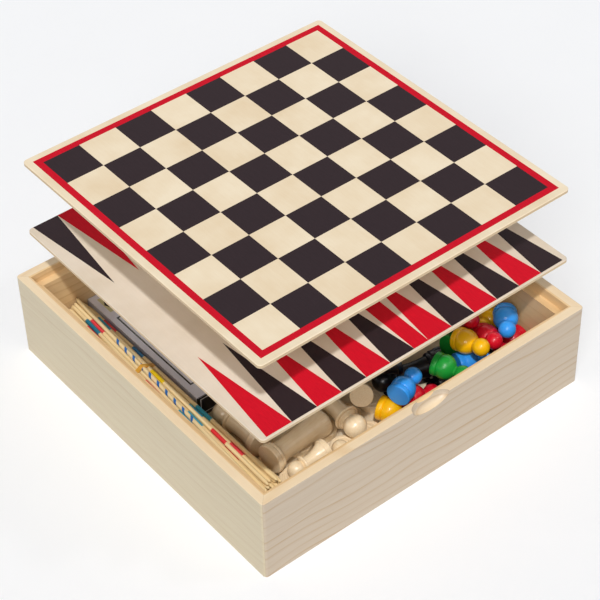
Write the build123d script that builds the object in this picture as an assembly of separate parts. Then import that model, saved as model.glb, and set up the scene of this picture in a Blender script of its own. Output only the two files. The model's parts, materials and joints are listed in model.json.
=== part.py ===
"""Games compendium: a mitred wooden case, two playing boards that lie one on the other
in its rebate, and the men, pawns, draughts, dice, sticks and dominoes that it holds.

Millimetres, +Z up. The origin is the centre of the case's underside, the front wall
with the thumb scoop faces -Y, and the boards are lifted off the case, one over the other.
"""

from build123d import *

import math
import os

import numpy as np

# ---------------------------------------------------------------- pick-up sticks
STICK_LENGTH = 236
STICK_DIAMETER = 3
STICK_POINT = 5
STICK_TIP_DIAMETER = 0.9
STICK_GAP = 0.15
MANDARIN_COUNT = 5
BONZE_COUNT = 5
SAMURAI_COUNT = 15
WORKER_COUNT = 15
BUNDLE_TWIST = 0.005
BUNDLE_FROM_WALL = 20.3
STICK_STAGGER = 1.2
STICK_STAGGERS = 5
STAGGER_STRIDE = 3
BAND_WIDTH = 4
BAND_THICKNESS = 1
BAND_FROM_BACK = 91

# ---------------------------------------------------------------- case
STICK_END_ROOM = 26
LEDGE_WIDTH = 6
RIM_WIDTH = 8
REBATE_DEPTH = 8
INNER_HEIGHT = 54
CORNER_RADIUS = 3
EDGE_EASE = 0.6
BASE_THICKNESS = 4
BASE_RECESS = 6
GROOVE_DEPTH = 4.5
GROOVE_END_GAP = 0.5
SCOOP_WIDTH = 33
SCOOP_DEPTH = 7.5

# ---------------------------------------------------------------- boards
BOARD_THICKNESS = 3
BACKGAMMON_GAP = 2
CHESS_GAP = 4.5
BOARD_CORNER = 3.5
BOARD_EASE = 0.4
BACKGAMMON_LIFT = 50
CHESS_LIFT = 59

# ---------------------------------------------------------------- dominoes
TILE_LENGTH = 40
TILE_WIDTH = 19
TILE_THICKNESS = 4.8
TILE_EASE = 0.5
TILE_COUNT = 28
TILE_SLACK = 0.4
CARTON_BOARD = 0.6
CARTON_SIDE_SLACK = 3.8
CARTON_END_SLACK = 1.2
CARTON_FLAP_GAP = 0.3
CARTON_BAND_GAP = 0.6
CARTON_WALL_GAP = 0.5

# ---------------------------------------------------------------- draughts and dice
DRAUGHT_DIAMETER = 20
DRAUGHT_THICKNESS = 6
DRAUGHT_COUNT = 15
DRAUGHT_ROWS = 3
DRAUGHT_SPACE = 2.6
DIE_SIDE = 14
DIE_ROUND = 1.6
PIP_DIAMETER = 2.4
PIP_DEPTH = 0.6
PIP_PITCH = 3.6
DICE = ((16, 17, 20), (42, 18, -35))

# ---------------------------------------------------------------- men
PAWN_DIAMETER = 18
PAWN_HEIGHT = 29
PAWN_BALL = 13
PAWN_FOOT = 4.4
PAWN_NECK = 3.8

CHESS_PAWN_DIAMETER = 17
CHESS_PAWN_HEIGHT = 33
CHESS_PAWN_BALL = 12.5
CHESS_PAWN_NECK = 4.6
ROOK_DIAMETER = 21
ROOK_HEIGHT = 46
ROOK_NECK = 7.2
ROOK_HEAD = 18.6
ROOK_WELL = 11
KNIGHT_DIAMETER = 21
KNIGHT_HEIGHT = 48
KNIGHT_THICKNESS = 11
KNIGHT_BLANK = 17.6
BISHOP_DIAMETER = 21.5
BISHOP_HEIGHT = 50
BISHOP_NECK = 7.6
BISHOP_BALL = 17
QUEEN_DIAMETER = 22
QUEEN_HEIGHT = 56
QUEEN_WAIST = 7.8
QUEEN_CROWN = 21
KING_DIAMETER = 23
KING_HEIGHT = 64
KING_NECK = 7.6
KING_CROWN = 20
CROSS_HEIGHT = 7
CROSS_WIDTH = 6
CROSS_THICKNESS = 2.4
FOOT_HEIGHT = 4
FOOT_EASE = 0.8
COLLAR_HEIGHT = 2

# ---------------------------------------------------------------- how the men lie
REST_GAP = 0.2
WALL_GAP = 0.6
GRID = 0.5
ROAM = 8
NEAR_ROAM = 3
WIDE_ROAM = 26
SHIFT_STEPS = 5
SHIFT_COST = 0.5
TIPS = ((0, 0), (0, 14), (0, -12), (16, 0), (-16, 0), (12, 28), (-12, 28), (0, 42))

# ---------------------------------------------------------------- sizes that follow
INNER = STICK_LENGTH + STICK_END_ROOM
OPENING = INNER + 2 * LEDGE_WIDTH
OUTER = OPENING + 2 * RIM_WIDTH
FLOOR = BASE_RECESS + BASE_THICKNESS
LEDGE = FLOOR + INNER_HEIGHT
HEIGHT = LEDGE + REBATE_DEPTH
EDGE = INNER / 2


def save(name, shapes):
    """Writes one node, whose solids stay separate."""
    export_step(Compound(children=list(shapes)), f"parts/{name}.step")


def centred_box(width, depth, bottom, top):
    """Box about the Z axis from one height to another."""
    box = Box(width, depth, top - bottom, align=(Align.CENTER, Align.CENTER, Align.MIN))
    return Pos(0, 0, bottom) * box


# ================================================================ case
def case_walls():
    """Four mitred walls, rebated for the boards and grooved for the base panel."""
    frame = centred_box(OUTER, OUTER, 0, HEIGHT)
    frame = fillet(frame.edges().filter_by(Axis.Z), CORNER_RADIUS)
    frame -= centred_box(INNER, INNER, 0, HEIGHT)
    frame -= centred_box(OPENING, OPENING, LEDGE, HEIGHT)
    panel_groove = INNER + 2 * GROOVE_DEPTH
    frame -= centred_box(panel_groove, panel_groove, BASE_RECESS, FLOOR)
    rim = frame.faces().sort_by(Axis.Z)[-1]
    frame = fillet(rim.edges(), EDGE_EASE)
    reach = OUTER / 2 + 1
    wedge = Polyline((0, 0), (reach, -reach), (-reach, -reach), close=True)
    front_wedge = extrude(make_face(wedge), HEIGHT)
    walls = [frame & (Rot(0, 0, turn) * front_wedge) for turn in (0, 90, 180, 270)]
    walls[0] -= thumb_scoop()
    return dict(zip(("front_wall", "right_wall", "back_wall", "left_wall"), walls))


def thumb_scoop():
    """Hollow that a cutter leaves in the rim, deepest at the outer face of the front wall."""
    half = SCOOP_WIDTH / 2
    arc = EllipticalCenterArc((0, 0), half, SCOOP_DEPTH, start_angle=0, arc_size=180)
    bowl = revolve(make_face(arc + Line((-half, 0), (half, 0))), Axis.X)
    seam_outwards = Rot(135, 0, 0)
    return Pos(0, -OUTER / 2, HEIGHT) * seam_outwards * bowl


def base_panel():
    """Thin panel that sits in the walls' grooves."""
    side = INNER + 2 * (GROOVE_DEPTH - GROOVE_END_GAP)
    return centred_box(side, side, BASE_RECESS, FLOOR)


def board(gap, bottom):
    """Playing board with rounded corners and eased edges, a gap smaller than the opening."""
    side = OPENING - 2 * gap
    panel = centred_box(side, side, bottom, bottom + BOARD_THICKNESS)
    panel = fillet(panel.edges().filter_by(Axis.Z), BOARD_CORNER)
    rims = panel.faces().sort_by(Axis.Z)[0].edges() + panel.faces().sort_by(Axis.Z)[-1].edges()
    return chamfer(rims, BOARD_EASE)


# ================================================================ turned pieces
class Turning:
    """A piece turned on a lathe, standing on Z.

    The outline runs from the centre of the foot to the centre of the top. Each cut is
    (radius, height, bow): where it ends, and how far it bulges, or hollows if negative.
    """

    def __init__(self, *cuts):
        self.cuts = cuts
        self.height = cuts[-1][1]

    def solid(self):
        """The turned solid."""
        here = (0, 0)
        edges = []
        for radius, height, bow in self.cuts:
            there = (radius, height)
            edges.append(SagittaArc(here, there, -bow) if bow else Line(here, there))
            here = there
        edges.append(Line(here, (0, 0)))
        return revolve(Plane.XZ * make_face(edges), Axis.Z)

    def outline(self, step=GRID):
        """Points along the outline, as (radius, height)."""
        here = (0, 0)
        points = [here]
        for radius, height, bow in self.cuts:
            chord = math.dist(here, (radius, height))
            along = ((radius - here[0]) / chord, (height - here[1]) / chord)
            half = 2 * math.atan(2 * abs(bow) / chord)
            count = max(2, math.ceil(chord * (1 + half) / step))
            for i in range(1, count + 1):
                share = 2 * i / count - 1
                if bow:
                    bend = chord / 2 / math.sin(half)
                    run = bend * math.sin(share * half)
                    rise = math.copysign(bend * (math.cos(share * half) - math.cos(half)), bow)
                else:
                    run = chord / 2 * share
                    rise = 0
                middle = ((here[0] + radius) / 2, (here[1] + height) / 2)
                r = middle[0] + along[0] * run + along[1] * rise
                z = middle[1] + along[1] * run - along[0] * rise
                points.append((r, z))
            here = (radius, height)
        return points

    def skin(self, axis, side, up):
        """Points all over the piece, as it lies with its foot at the origin."""
        rings = []
        for radius, along in self.outline():
            count = max(1, math.ceil(2 * math.pi * radius / GRID))
            angles = np.linspace(0, 2 * math.pi, count, endpoint=False)
            round_it = np.outer(np.cos(angles), side) + np.outer(np.sin(angles), up)
            rings.append(axis * along + radius * round_it)
        return np.concatenate(rings)

    def lying_tilt(self):
        """How far the head drops when the piece lies on a flat floor, in degrees."""
        foot = self.cuts[1]
        head = [p for p in self.outline() if p[1] > self.height / 2]
        return math.degrees(min(math.atan2(foot[0] - r, z - foot[1]) for r, z in head))


def foot(radius, height=FOOT_HEIGHT, ease=FOOT_EASE):
    """Cuts of a foot with rounded edges."""
    bow = ease * (1 - math.sqrt(0.5))
    return (
        (radius - ease, 0, 0),
        (radius, ease, bow),
        (radius, height - ease, 0),
        (radius - ease, height, bow),
    )


def collar(radius, bottom, height=COLLAR_HEIGHT):
    """Cuts of a half-round ring."""
    return (
        (radius - height / 2, bottom, 0),
        (radius - height / 2, bottom + height, height / 2),
    )


def dome(radius, rise, top):
    """The last cut of a low dome that is level at its top."""
    half = math.atan2(rise, radius)
    return (0, top, math.hypot(radius, rise) / 2 * math.tan(half / 2))


def ball(neck, top, diameter):
    """Cuts that end in a ball: up to its underside at the neck, then round to the top."""
    radius = diameter / 2
    drop = math.sqrt(radius**2 - neck**2)
    half = (math.pi / 2 + math.asin(drop / radius)) / 2
    return (
        (neck, top - radius - drop, 0),
        (0, top, radius * (1 - math.cos(half))),
    )


def ludo_pawn():
    """Bell-shaped pawn with a groove over its foot and a ball on top."""
    r = PAWN_DIAMETER / 2
    return Turning(
        (r - 0.8, 0, 0),
        (r, 1.0, 0.25),
        (r - 0.2, PAWN_FOOT - 0.5, 0.1),
        (r - 0.9, PAWN_FOOT, 0),
        (r - 0.3, PAWN_FOOT + 0.6, 0),
        (PAWN_NECK, PAWN_HEIGHT - PAWN_BALL + 0.2, 2.4),
        *ball(PAWN_NECK, PAWN_HEIGHT, PAWN_BALL),
    )


def chess_pawn():
    """Chess pawn: foot, cone, collar and ball."""
    r = CHESS_PAWN_DIAMETER / 2
    neck = CHESS_PAWN_HEIGHT - CHESS_PAWN_BALL - COLLAR_HEIGHT + 1
    return Turning(
        *foot(r),
        (r - 1.3, FOOT_HEIGHT + 0.8, 0),
        (CHESS_PAWN_NECK, neck, -1.2),
        *collar(CHESS_PAWN_NECK + 2, neck),
        *ball(CHESS_PAWN_NECK - 0.6, CHESS_PAWN_HEIGHT, CHESS_PAWN_BALL),
    )


def rook():
    """Turned body of the rook, with its hollow head."""
    r = ROOK_DIAMETER / 2
    neck = ROOK_HEIGHT * 0.68
    return Turning(
        *foot(r),
        *foot_step(r - 1.2),
        (ROOK_NECK, neck, -1.0),
        *collar(ROOK_NECK + 1.6, neck),
        (ROOK_NECK, neck + COLLAR_HEIGHT, 0),
        (ROOK_HEAD / 2, ROOK_HEIGHT - 8, -0.4),
        (ROOK_HEAD / 2, ROOK_HEIGHT, 0),
        (ROOK_WELL / 2, ROOK_HEIGHT, 0),
        (ROOK_WELL / 2, ROOK_HEIGHT - 3, 0),
        (0, ROOK_HEIGHT - 3, 0),
    )


def rook_solid():
    """Rook with four notches through its head."""
    slot = Box(ROOK_DIAMETER + 2, 3, 3.2, align=(Align.CENTER, Align.CENTER, Align.MIN))
    slot = Pos(0, 0, ROOK_HEIGHT - 2.8) * slot
    return rook().solid() - slot - Rot(0, 0, 90) * slot


def bishop():
    """Bishop: tall body, two collars and a large ball."""
    r = BISHOP_DIAMETER / 2
    neck = BISHOP_HEIGHT - BISHOP_BALL - 2 * COLLAR_HEIGHT + 1.4
    return Turning(
        *foot(r),
        *foot_step(r - 1.2),
        (BISHOP_NECK, neck, -1.2),
        *collar(BISHOP_NECK + 2.2, neck),
        *collar(BISHOP_NECK + 0.8, neck + COLLAR_HEIGHT),
        *ball(BISHOP_NECK - 1.6, BISHOP_HEIGHT, BISHOP_BALL),
    )


def queen():
    """Queen: stout waist that flares into a wide domed crown."""
    r = QUEEN_DIAMETER / 2
    crown = QUEEN_CROWN / 2
    return Turning(
        *foot(r),
        *foot_step(r - 1.2),
        (QUEEN_WAIST, QUEEN_HEIGHT * 0.36, -0.6),
        (crown, QUEEN_HEIGHT * 0.86, -0.9),
        (crown - 2.4, QUEEN_HEIGHT - 3, 0.9),
        dome(crown - 2.4, 3, QUEEN_HEIGHT),
    )


def foot_step(radius):
    """Cuts of the second, smaller step over a large man's foot."""
    return (
        (radius, FOOT_HEIGHT + 0.4, 0),
        (radius - 0.2, FOOT_HEIGHT + 3, 0.5),
        (radius - 1.4, FOOT_HEIGHT + 3.6, 0),
    )


def king():
    """Turned body of the king, up to the seat of its cross."""
    r = KING_DIAMETER / 2
    neck = KING_HEIGHT * 0.5
    crown = KING_HEIGHT - CROSS_HEIGHT - 4
    return Turning(
        *foot(r),
        *foot_step(r - 1.4),
        (KING_NECK, neck, -1.4),
        *collar(KING_NECK + 2, neck),
        *collar(KING_NECK + 0.8, neck + COLLAR_HEIGHT),
        (KING_NECK - 0.6, neck + 2 * COLLAR_HEIGHT, 0),
        (KING_CROWN / 2, crown, -0.8),
        (2.4, crown + 4, 1.2),
        (0, crown + 4, 0),
    )


def king_room():
    """The king's outline with the room that its cross takes up."""
    arm = CROSS_WIDTH / 2
    seat = KING_HEIGHT - CROSS_HEIGHT
    return Turning(*king().cuts[:-1], (arm, seat, 0), (arm, KING_HEIGHT, 0), (0, KING_HEIGHT, 0))


def king_solid():
    """King with its cross."""
    seat = KING_HEIGHT - CROSS_HEIGHT
    upright = centred_box(CROSS_THICKNESS, CROSS_THICKNESS, seat - 1, KING_HEIGHT)
    arm = Pos(0, 0, seat + CROSS_HEIGHT * 0.55) * Box(CROSS_WIDTH, CROSS_THICKNESS, CROSS_THICKNESS)
    return king().solid() + upright + arm


def knight():
    """Turned stand of the knight; above it, the room that the horse's head takes up."""
    blank = KNIGHT_BLANK / 2
    return Turning(
        *knight_stand(),
        (blank, FOOT_HEIGHT + 8, 0),
        (blank, KNIGHT_HEIGHT * 0.7, 0),
        (blank / 2, KNIGHT_HEIGHT, 0),
        (0, KNIGHT_HEIGHT, 0),
    )


def knight_stand():
    """Cuts of the knight's turned stand."""
    r = KNIGHT_DIAMETER / 2
    return (*foot(r), *foot_step(r - 1.2), (r - 3, FOOT_HEIGHT + 8, -0.4))


def knight_solid():
    """Knight: turned stand with a horse's head cut from a turned blank."""
    neck = FOOT_HEIGHT + 8
    stand = Turning(*knight_stand(), (0, neck, 0)).solid()
    top = KNIGHT_HEIGHT
    edges = [
        Line((-6.6, neck - 1), (6.6, neck - 1)),
        SagittaArc((6.6, neck - 1), (2.0, neck + 15), 2.0),
        Line((2.0, neck + 15), (6.4, neck + 13.4)),
        SagittaArc((6.4, neck + 13.4), (8.6, neck + 18), -1.6),
        Line((8.6, neck + 18), (2.6, top - 5)),
        Line((2.6, top - 5), (0.4, top)),
        Line((0.4, top), (-2.4, top - 4)),
        SagittaArc((-2.4, top - 4), (-6.6, neck - 1), -4.0),
    ]
    head = extrude(Plane.XZ * make_face(edges), KNIGHT_THICKNESS / 2, both=True)
    head &= Pos(0, 0, top / 2) * Cylinder(KNIGHT_BLANK / 2, top)
    return stand + head


def draught():
    """Draughtsman with a dished face and a ring on both sides."""
    r = DRAUGHT_DIAMETER / 2
    t = DRAUGHT_THICKNESS
    dish = 0.5
    return Turning(
        (r - 0.9, 0, 0),
        (r, 0.9, 0.26),
        (r, t - 0.9, 0),
        (r - 0.9, t, 0.26),
        (r * 0.78, t, 0),
        (r * 0.74, t - dish, 0),
        (r * 0.64, t - dish, 0),
        (r * 0.6, t, 0),
        (r * 0.45, t, 0),
        (r * 0.4, t - dish, 0),
        (0, t - dish, 0),
    )


def die():
    """Rounded cube with sunk pips; opposite faces add up to seven."""
    cube = fillet(Box(DIE_SIDE, DIE_SIDE, DIE_SIDE).edges(), DIE_ROUND)
    near, mid, far = -PIP_PITCH, 0, PIP_PITCH
    spots = {
        1: [(mid, mid)],
        2: [(near, near), (far, far)],
        3: [(near, near), (mid, mid), (far, far)],
        4: [(near, near), (near, far), (far, near), (far, far)],
        5: [(near, near), (near, far), (far, near), (far, far), (mid, mid)],
        6: [(near, near), (near, mid), (near, far), (far, near), (far, mid), (far, far)],
    }
    turns = {1: (0, 0), 6: (180, 0), 2: (90, 0), 5: (-90, 0), 3: (0, 90), 4: (0, -90)}
    radius = (PIP_DIAMETER**2 / 4 + PIP_DEPTH**2) / (2 * PIP_DEPTH)
    for count, (about_x, about_y) in turns.items():
        for x, y in spots[count]:
            spot = Pos(x, y, DIE_SIDE / 2 + radius - PIP_DEPTH) * Sphere(radius)
            cube -= Rot(about_x, about_y, 0) * spot
    return cube


# ================================================================ laying the men in
class Heap:
    """How high the case is filled, on a square grid, as the men are laid in one by one."""

    def __init__(self):
        side = math.ceil(INNER / GRID) + 3
        self.tops = np.full((side, side), float(FLOOR))

    def fill(self, x0, x1, y0, y1, top):
        """Marks a block that is already in the case."""
        i0, i1, j0, j1 = (round((v + EDGE) / GRID) + 1 for v in (x0, x1, y0, y1))
        block = self.tops[max(i0, 0) : i1 + 1, max(j0, 0) : j1 + 1]
        np.maximum(block, top, out=block)

    def cells(self, skin, place):
        """Grid cells under the points of a piece's skin."""
        spots = np.rint((skin[:, :2] + place + EDGE) / GRID).astype(int) + 1
        return spots[:, 0], spots[:, 1]

    def lay(self, shape, from_left, from_front, heading, pitch=None, roam=ROAM):
        """Lays a turned piece down and returns where its foot comes to be.

        The place is that of the piece's middle, measured from the left and front walls. The
        heading is the way the head points, counted from +X towards +Y. The pitch is how far
        the head points up, and by itself the piece lies as on a flat floor. Within its roam
        the piece slips, and turns and tips a little, to where it sinks deepest.
        """
        flat = -shape.lying_tilt() if pitch is None else pitch
        roam = roam if pitch is None else min(roam, NEAR_ROAM)
        best = None
        for turn, tip in TIPS if roam == ROAM else TIPS[:1]:
            axis, side, up = directions(heading + turn, flat + tip)
            skin = shape.skin(axis, side, up)
            start = np.array((from_left - EDGE, from_front - EDGE)) - axis[:2] * shape.height / 2
            room = EDGE - WALL_GAP
            lowest, highest = -room - skin[:, :2].min(axis=0), room - skin[:, :2].max(axis=0)
            for shift in shifts(roam):
                place = np.clip(start + shift, lowest, highest)
                lift = (self.tops[self.cells(skin, place)] - skin[:, 2]).max() + REST_GAP
                middle = lift + axis[2] * shape.height / 2
                cost = middle + SHIFT_COST * np.linalg.norm(place - start)
                if best is None or cost < best[0] - 0.01:
                    best = (cost, lift, place, axis, up, skin)
        _, lift, place, axis, up, skin = best
        rows, columns = self.cells(skin, place)
        for a in (-1, 0, 1):
            for b in (-1, 0, 1):
                near = (np.clip(rows + a, 0, None), np.clip(columns + b, 0, None))
                np.maximum.at(self.tops, near, skin[:, 2] + lift)
        origin = Vector(place[0], place[1], lift)
        return Location(Plane(origin, x_dir=Vector(*up), z_dir=Vector(*axis)))


def directions(heading, pitch):
    """A lying piece's axis, and the two directions square to it: sideways and up."""
    turn, tip = math.radians(heading), math.radians(pitch)
    axis = np.array((math.cos(turn) * math.cos(tip), math.sin(turn) * math.cos(tip), math.sin(tip)))
    side = np.array((-math.sin(turn), math.cos(turn), 0))
    return axis, side, np.cross(axis, side)


def shifts(roam):
    """Places to try round a piece's own, nearest first."""
    steps = np.linspace(-roam, roam, 2 * SHIFT_STEPS + 1)
    tries = {(x, y) for x in steps for y in steps if math.hypot(x, y) <= roam}
    return sorted(tries, key=lambda shift: (math.hypot(*shift), shift))


# ================================================================ sticks
def bundle_places():
    """Places round the bundle's middle in a close-packed pattern, the topmost first."""
    pitch = STICK_DIAMETER + STICK_GAP
    rows = range(-5, 6)
    spots = [(pitch * (a + b / 2), pitch * b * math.sqrt(0.75)) for a in rows for b in rows]
    spots.sort(key=lambda p: (round(math.hypot(*p), 3), -round(p[1], 3), p[0]))
    count = 1 + MANDARIN_COUNT + BONZE_COUNT + SAMURAI_COUNT + WORKER_COUNT
    return sorted(spots[:count], key=lambda p: (-round(p[1], 3), p[0]))


def stick():
    """Thin rod with two points, standing on Z."""
    tip, r = STICK_TIP_DIAMETER / 2, STICK_DIAMETER / 2
    return Turning(
        (tip, 0, 0),
        (r, STICK_POINT, 0),
        (r, STICK_LENGTH - STICK_POINT, 0),
        (tip, STICK_LENGTH, 0),
        (0, STICK_LENGTH, 0),
    )


PLACES = bundle_places()
BUNDLE_RADIUS = max(math.hypot(*p) for p in PLACES) + STICK_DIAMETER / 2
BAND_RADIUS = BUNDLE_RADIUS + REST_GAP
LONG_END = STICK_LENGTH - BAND_FROM_BACK + STICK_STAGGER * (STICK_STAGGERS - 1)
BUNDLE_FLARE = BUNDLE_RADIUS * math.hypot(1, BUNDLE_TWIST * LONG_END)
BUNDLE_Z = FLOOR + max(BUNDLE_FLARE, BAND_RADIUS + BAND_THICKNESS) + REST_GAP
CARTON_WIDTH = TILE_LENGTH + CARTON_SIDE_SLACK + 2 * CARTON_BOARD
CARTON_HEIGHT = TILE_WIDTH + TILE_SLACK + 2 * CARTON_BOARD
CARTON_LENGTH = TILE_COUNT * TILE_THICKNESS + CARTON_END_SLACK + 2 * CARTON_BOARD
BUNDLE_X = BUNDLE_FROM_WALL - EDGE
BUNDLE_BACK = EDGE - WALL_GAP
BAND_Y = BUNDLE_BACK - BAND_FROM_BACK
CARTON_LEFT = BUNDLE_X + BAND_RADIUS + BAND_THICKNESS + CARTON_BAND_GAP
CARTON_BACK = EDGE - CARTON_WALL_GAP


def stick_location(place, number):
    """Where a stick's far end lies: the bundle is twisted, so the sticks fan out from its band."""
    across, up = place
    axis = Vector(-BUNDLE_TWIST * up, -1, BUNDLE_TWIST * across).normalized()
    waist = Vector(BUNDLE_X + across, BAND_Y, BUNDLE_Z + up)
    stagger = STICK_STAGGER * (number * STAGGER_STRIDE % STICK_STAGGERS)
    return Location(Plane(waist - axis * (BAND_FROM_BACK - stagger), z_dir=axis))


def deal_sticks():
    """Which kind of stick lies in each place: the mikado on top, the others mixed."""
    kinds = {"mandarin": MANDARIN_COUNT, "bonze": BONZE_COUNT}
    kinds |= {"samurai": SAMURAI_COUNT, "worker": WORKER_COUNT}
    total = sum(kinds.values())
    turns = sorted(((n + 0.5) * total / count, kind) for kind, count in kinds.items() for n in range(count))
    return ["mikado"] + [kind for _, kind in turns]


def sticks():
    """The five kinds of stick in their places."""
    rod = stick().solid()
    bundle = {}
    for number, (kind, place) in enumerate(zip(deal_sticks(), PLACES)):
        bundle.setdefault(kind, []).append(stick_location(place, number) * rod)
    return bundle


def rubber_band():
    """Flat band round the waist of the bundle."""
    ring = Cylinder(BAND_RADIUS + BAND_THICKNESS, BAND_WIDTH) - Cylinder(BAND_RADIUS, BAND_WIDTH)
    return Pos(BUNDLE_X, BAND_Y, BUNDLE_Z) * Rot(90, 0, 0) * ring


# ================================================================ dominoes
def domino_carton():
    """Folding carton: a closed sleeve whose near flap is tucked in."""
    outside = Box(CARTON_WIDTH, CARTON_LENGTH, CARTON_HEIGHT)
    inside = Box(*(side - 2 * CARTON_BOARD for side in (CARTON_WIDTH, CARTON_LENGTH, CARTON_HEIGHT)))
    slit_width = CARTON_WIDTH - 2 * CARTON_BOARD
    slit = Box(slit_width, 2 * CARTON_BOARD, CARTON_FLAP_GAP)
    slit = Pos(0, -CARTON_LENGTH / 2, CARTON_HEIGHT / 2 - CARTON_BOARD - CARTON_FLAP_GAP / 2) * slit
    return carton_place() * (outside - inside - slit)


def carton_place():
    """Where the middle of the carton lies."""
    x = CARTON_LEFT + CARTON_WIDTH / 2
    y = CARTON_BACK - CARTON_LENGTH / 2
    return Pos(x, y, FLOOR + CARTON_HEIGHT / 2)


def domino_tiles():
    """Dominoes on edge in one row, each with a groove across the middle of its face."""
    tile = chamfer(Box(TILE_LENGTH, TILE_THICKNESS, TILE_WIDTH).edges(), TILE_EASE)
    tile -= Pos(0, -TILE_THICKNESS / 2, 0) * Box(0.8, 0.8, TILE_WIDTH)
    drop = CARTON_BOARD + TILE_WIDTH / 2 - CARTON_HEIGHT / 2
    first = -(TILE_COUNT - 1) / 2 * TILE_THICKNESS
    places = [Pos(0, first + n * TILE_THICKNESS, drop) for n in range(TILE_COUNT)]
    return [carton_place() * place * tile for place in places]


# ================================================================ how everything lies
# Each man that shows: its kind, where its middle lies from the left and from the front
# wall, the heading of its head, and the pitch of its head where it doesn't lie flat.
UPRIGHT_ANGLE = 90
NATURAL = (
    ("queen", 67, 51, -10),
    ("bishops", 107, 53, -76),
    ("bishops", 47, 90, 92),
    ("pawns", 59, 34, 180),
    ("pawns", 85, 18, 100),
    ("pawns", 126, 57, 52, -30),
)
BLACK = (
    ("bishops", 166, 52, 178),
    ("pawns", 143, 55, 176),
)
LUDO = (
    ("yellow", 137, 26, -65, -2),
    ("red", 162, 29, -15, -7),
    ("green", 186, 24, -70, -2),
    ("blue", 214, 31, -15, -7),
    ("green", 222, 53, 5, -10),
    ("red", 244, 27, -165, -2),
    ("yellow", 239, 76, 55, -12),
    ("yellow", 243, 53, -155, 15),
    ("blue", 150, 31, 20, 0),
    ("red", 227, 29, -110, 30),
    ("yellow", 210, 29, -85, 15),
    ("red", 223, 52, -85, 25),
    ("blue", 244, 30, -130, 10),
)

# The men that lie out of sight under the boards slip further to find a place.
NATURAL_BELOW = (
    ("king", 94, 90, 8),
    ("rooks", 80, 112, 4),
    ("rooks", 122, 116, 60),
    ("knights", 112, 140, 80),
    ("knights", 96, 168, -84),
    ("pawns", 66, 76, 20),
    ("pawns", 104, 200, 150),
    ("pawns", 120, 180, 30),
    ("pawns", 100, 226, 250),
    ("pawns", 126, 214, 95),
)
BLACK_BELOW = (
    ("queen", 140, 78, 4),
    ("king", 196, 80, -6),
    ("rooks", 150, 102, 176),
    ("rooks", 182, 84, 0),
    ("bishops", 160, 132, -84),
    ("knights", 182, 138, 100),
    ("knights", 206, 136, -70),
    ("pawns", 232, 104, 60),
    ("pawns", 236, 132, 200),
    ("pawns", 150, 168, 40),
    ("pawns", 180, 172, 160),
    ("pawns", 212, 168, -30),
    ("pawns", 240, 160, 110),
    ("pawns", 146, 200, 20),
)
LUDO_BELOW = (
    ("green", 176, 204, 60),
    ("green", 204, 200, 200),
    ("green", 248, 204, 60),
    ("red", 196, 226, 10),
    ("yellow", 226, 204, 60),
    ("blue", 176, 228, 60),
    ("blue", 246, 120, 60),
)


def men():
    """All loose men and dice, by node, each laid on what is already in the case."""
    heap = Heap()
    fill_bundle(heap)
    x, y, _ = carton_place().position
    half_x, half_y = CARTON_WIDTH / 2, CARTON_LENGTH / 2
    heap.fill(x - half_x - GRID, x + half_x + GRID, y - half_y - GRID, y + half_y, LEDGE)
    pawn = ludo_pawn()
    chess = {
        "pawns": (chess_pawn(), chess_pawn().solid()),
        "rooks": (rook(), rook_solid()),
        "knights": (knight(), knight_solid()),
        "bishops": (bishop(), bishop().solid()),
        "queen": (queen(), queen().solid()),
        "king": (king_room(), king_solid()),
    }
    ludo = {colour: (pawn, pawn.solid()) for colour in ("red", "blue", "yellow", "green")}
    laid = lay_draughts(heap)
    laid["dice"] = lay_dice(heap)

    def lay_all(places, kinds, name, roam):
        for kind, *place in places:
            shape, solid = kinds[kind]
            laid.setdefault(name.format(kind), []).append(heap.lay(shape, *place, roam=roam) * solid)

    lay_all(NATURAL, chess, "natural_{}", ROAM)
    lay_all(BLACK, chess, "black_{}", ROAM)
    lay_all(LUDO, ludo, "{}_pawns", ROAM)
    lay_all(NATURAL_BELOW, chess, "natural_{}", WIDE_ROAM)
    lay_all(BLACK_BELOW, chess, "black_{}", WIDE_ROAM)
    lay_all(LUDO_BELOW, ludo, "{}_pawns", WIDE_ROAM)
    return laid


def fill_bundle(heap):
    """Marks the room of the stick bundle as full up to the ledge."""
    ahead = -BAND_FROM_BACK
    while ahead < LONG_END:
        radius = BUNDLE_RADIUS * math.hypot(1, BUNDLE_TWIST * ahead) + REST_GAP
        y = BAND_Y - ahead
        heap.fill(BUNDLE_X - radius, BUNDLE_X + radius, y - GRID, y, LEDGE)
        ahead += GRID


def lay_draughts(heap):
    """A bottom layer of draughtsmen along the front, light ones on the left."""
    shape = draught()
    solid = shape.solid()
    pitch = DRAUGHT_DIAMETER + DRAUGHT_SPACE
    laid = {"light_draughts": [], "dark_draughts": []}
    columns = 2 * DRAUGHT_COUNT // DRAUGHT_ROWS
    for number in range(2 * DRAUGHT_COUNT):
        column, row = divmod(number, DRAUGHT_ROWS)
        node = "light_draughts" if column < columns / 2 else "dark_draughts"
        from_left = INNER - pitch * (columns - column - 0.5) + DRAUGHT_SPACE / 2
        from_front = pitch * (row + 0.5)
        laid[node].append(heap.lay(shape, from_left, from_front, 0, UPRIGHT_ANGLE, roam=0) * solid)
    return laid


def lay_dice(heap):
    """Two dice on the base panel near the back right corner."""
    cube = die()
    height = FLOOR + REST_GAP + DIE_SIDE / 2
    dice = []
    for from_right, from_back, turn in DICE:
        x, y = EDGE - from_right, EDGE - from_back
        heap.fill(x - DIE_SIDE, x + DIE_SIDE, y - DIE_SIDE, y + DIE_SIDE, LEDGE)
        dice.append(Pos(x, y, height) * Rot(0, 0, turn) * cube)
    return dice


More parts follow.
